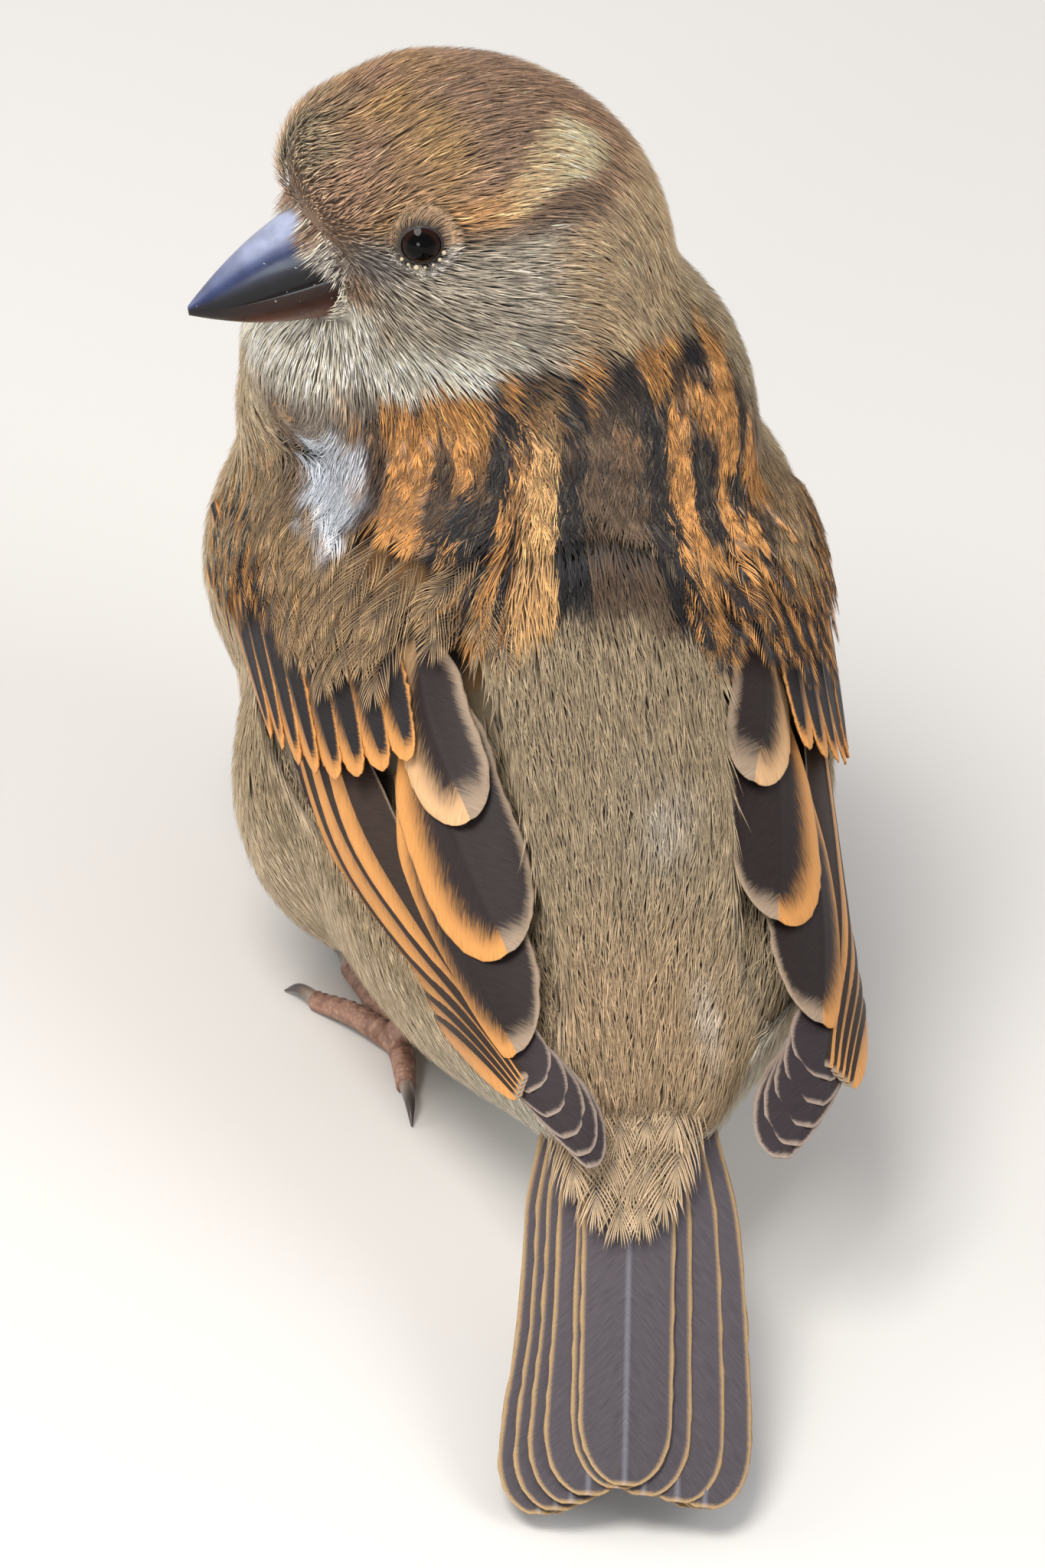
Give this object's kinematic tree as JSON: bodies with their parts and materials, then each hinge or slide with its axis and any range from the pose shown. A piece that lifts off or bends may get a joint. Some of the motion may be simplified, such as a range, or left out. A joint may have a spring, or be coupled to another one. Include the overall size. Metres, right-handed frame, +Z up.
{
  "type": "house sparrow",
  "caption": "Life-size female house sparrow with fluffed plumage, standing with its head turned over its left side, wings folded and tail slightly fanned.",
  "frame": {"origin": "middle of the bird's bounding box, on the floor under its feet", "axes": "+Z up; the trunk faces -Y and the tail points to +Y; the bird's left side is +X, and the head is turned to +X"},
  "size_m": [0.0602, 0.1258, 0.085],
  "materials": {
    "crown_plumage": "soft warm grey-brown plumage of crown and face",
    "back_plumage": "soft streaked brown, buff and grey plumage",
    "wing_vane": "blackish brown flight feathers with buff fringes, faint sheen",
    "covert_plumage": "brown coverts with dark centres and orange-buff edges",
    "tail_vane": "grey-brown tail feathers with pale fringes, faint sheen",
    "bill_horn": "slate upper bill and dusky pinkish lower bill, soft gloss",
    "eye": "wet glossy blackish brown",
    "leg_skin": "scaly pinkish brown",
    "claw_horn": "dark translucent grey horn"
  },
  "bodies": {
    "root": {"bill_lower": "bill_horn", "bill_upper": "bill_horn", "claw_left_hind": "claw_horn", "claw_left_inner": "claw_horn", "claw_left_middle": "claw_horn", "claw_left_outer": "claw_horn", "claw_right_hind": "claw_horn", "claw_right_inner": "claw_horn", "claw_right_middle": "claw_horn", "claw_right_outer": "claw_horn", "eye_left": "eye", "eye_right": "eye", "head": "crown_plumage", "leg_left": "leg_skin", "leg_right": "leg_skin", "neck": "back_plumage", "tail_coverts_under": "back_plumage", "tail_coverts_upper": "back_plumage", "tail_left_1": "tail_vane", "tail_left_2": "tail_vane", "tail_left_3": "tail_vane", "tail_left_4": "tail_vane", "tail_left_5": "tail_vane", "tail_right_1": "tail_vane", "tail_right_2": "tail_vane", "tail_right_3": "tail_vane", "trunk": "back_plumage", "wing_left_arm": "covert_plumage", "wing_left_coverts": "covert_plumage", "wing_left_primaries": "wing_vane", "wing_left_secondaries": "wing_vane", "wing_left_tertial_long": "wing_vane", "wing_left_tertial_middle": "wing_vane", "wing_left_tertial_short": "wing_vane", "wing_right_arm": "covert_plumage", "wing_right_coverts": "covert_plumage", "wing_right_primaries": "wing_vane", "wing_right_secondaries": "wing_vane", "wing_right_tertial_long": "wing_vane", "wing_right_tertial_middle": "wing_vane", "wing_right_tertial_short": "wing_vane"}
  },
  "joints": []
}
